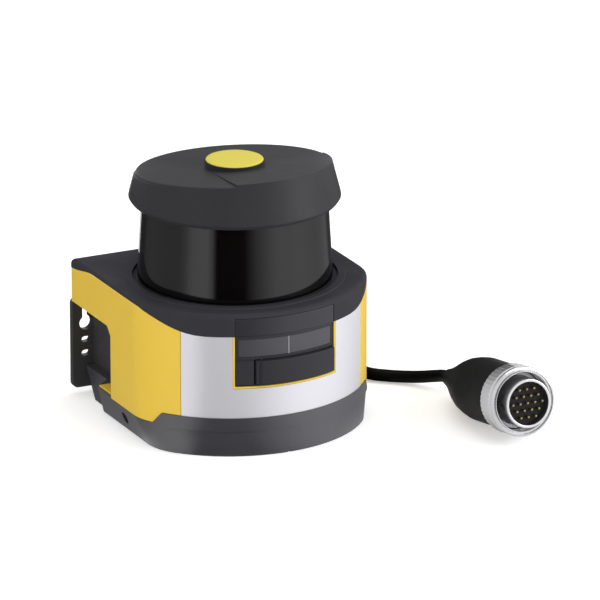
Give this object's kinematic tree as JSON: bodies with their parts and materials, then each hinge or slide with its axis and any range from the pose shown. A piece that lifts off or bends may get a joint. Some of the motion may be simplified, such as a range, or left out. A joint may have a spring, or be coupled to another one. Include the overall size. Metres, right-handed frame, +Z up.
{
  "type": "safety laser scanner",
  "caption": "Compact safety laser scanner: round scanning head with dark window and cap on a yellow housing, connection unit, mounting plate and short cable with a round plug",
  "frame": {"origin": "under the head axis on the underside, in the middle of the body's width and depth", "axes": "+Z up, -Y is the front with the display, +Y the mounting plate's back, +X to the right seen from the front"},
  "size_m": [0.2092, 0.2499, 0.1512],
  "materials": {
    "grey_casting": "satin",
    "black_plate": "satin",
    "zinc_screw": "satin",
    "black_polymer": "matte",
    "black_screw": "satin",
    "seal_rubber": "matte",
    "board_green": "satin",
    "yellow_paint": "satin",
    "silver_paint": "satin",
    "grey_polymer": "satin",
    "smoked_window": "gloss",
    "dark_polymer": "satin",
    "display_pane": "gloss",
    "silver_trim": "satin",
    "bright_shell": "satin",
    "inner_casting": "satin",
    "bearing_steel": "bright",
    "rotor_steel": "satin",
    "encoder_metal": "satin",
    "mirror_coating": "bright",
    "black_window": "gloss",
    "lens_glass": "gloss",
    "brass_module": "satin",
    "cap_polymer": "satin",
    "yellow_disc": "satin",
    "cable_jacket": "satin",
    "plug_rubber": "satin",
    "nut_nickel": "satin",
    "gold_contact": "bright"
  },
  "bodies": {
    "scanner": {"connection_unit": "grey_casting", "mounting_plate": "black_plate", "plate_screws": "zinc_screw", "cable_gland": "black_polymer", "locking_screws": "black_screw", "housing_gasket": "seal_rubber", "terminal_board": "board_green", "base_connector": "black_polymer", "unit_connector": "black_polymer", "scanner_housing": "yellow_paint", "front_panel": "silver_paint", "top_cover": "grey_polymer", "indicator_window": "smoked_window", "display_bezel": "dark_polymer", "display_board": "board_green", "display_glass_left": "display_pane", "display_glass_right": "display_pane", "display_divider": "silver_trim", "port_hinge_pin": "zinc_screw", "usb_socket": "bright_shell", "optics_carrier": "inner_casting", "carrier_screws": "zinc_screw", "main_board": "board_green", "motor_housing": "inner_casting", "lower_bearing": "bearing_steel", "upper_bearing": "bearing_steel", "encoder_reader": "black_polymer", "window_seal": "seal_rubber", "optics_window": "black_window", "head_plate": "inner_casting", "receiver_lens": "lens_glass", "laser_module": "brass_module", "receiver_board": "board_green", "cap": "cap_polymer", "cap_disc": "yellow_disc", "cable": "cable_jacket", "plug_sleeve": "plug_rubber", "plug_barrel": "bright_shell", "contact_insert": "black_polymer", "contact_pins": "gold_contact"},
    "mirror_rotor": {"motor_shaft": "bearing_steel", "motor_rotor": "rotor_steel", "encoder_disc": "encoder_metal", "mirror_carrier": "inner_casting", "mirror_glass": "mirror_coating"},
    "port_flap": {"port_cover": "dark_polymer"},
    "nut": {"coupling_nut": "nut_nickel"}
  },
  "joints": [
    {"name": "mirror_spin", "type": "hinge", "parent": "scanner", "child": "mirror_rotor", "pos_m": [0, 0, 0.06], "axis": [0, 0, 1], "continuous": true},
    {"name": "port_cover_swing", "type": "hinge", "parent": "scanner", "child": "port_flap", "pos_m": [-0.0152, -0.06522, 0.048], "axis": [0, 0, -1], "range_deg": [0, 100]},
    {"name": "coupling_nut_turn", "type": "hinge", "parent": "scanner", "child": "nut", "pos_m": [0.1197, -0.1223, 0.0263], "axis": [0, -0.9877, 0.1564], "continuous": true}
  ]
}
